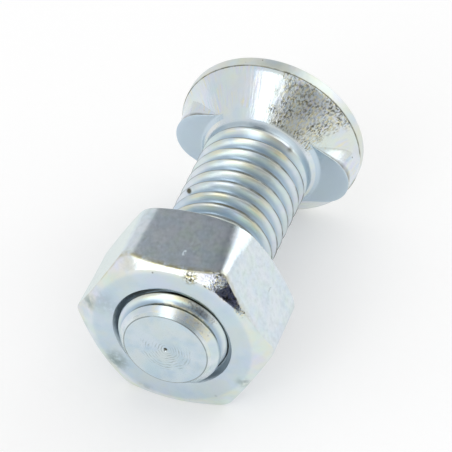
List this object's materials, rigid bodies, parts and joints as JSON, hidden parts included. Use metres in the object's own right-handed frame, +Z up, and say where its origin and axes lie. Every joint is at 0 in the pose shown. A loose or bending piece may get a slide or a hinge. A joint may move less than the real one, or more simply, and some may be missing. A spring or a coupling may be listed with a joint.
{
  "type": "plow bolt",
  "caption": "Flat countersunk plow bolt with two side nibs under its head, a threaded shank and a hex nut that runs along it.",
  "frame": {"origin": "centre of the footprint, on the surface that the bolt lies on", "axes": "+X along the bolt towards its head, less the 1.0 degrees that its axis rises there, +Z up, +Y to the left seen along +X"},
  "size_m": [0.0352, 0.0212, 0.0198],
  "materials": {
    "bolt_zinc": "forged and thread-rolled steel, bright zinc plated and blue passivated",
    "nut_zinc": "cold-forged steel, bright zinc plated and blue passivated"
  },
  "bodies": {
    "bolt": {"bolt": "bolt_zinc"},
    "nut": {"hex_nut": "nut_zinc"}
  },
  "joints": [
    {"name": "nut_travel", "type": "slide", "parent": "bolt", "child": "nut", "axis": [0.9998, 0, 0.0176], "range_m": [-0.0105, 0.0175]}
  ]
}
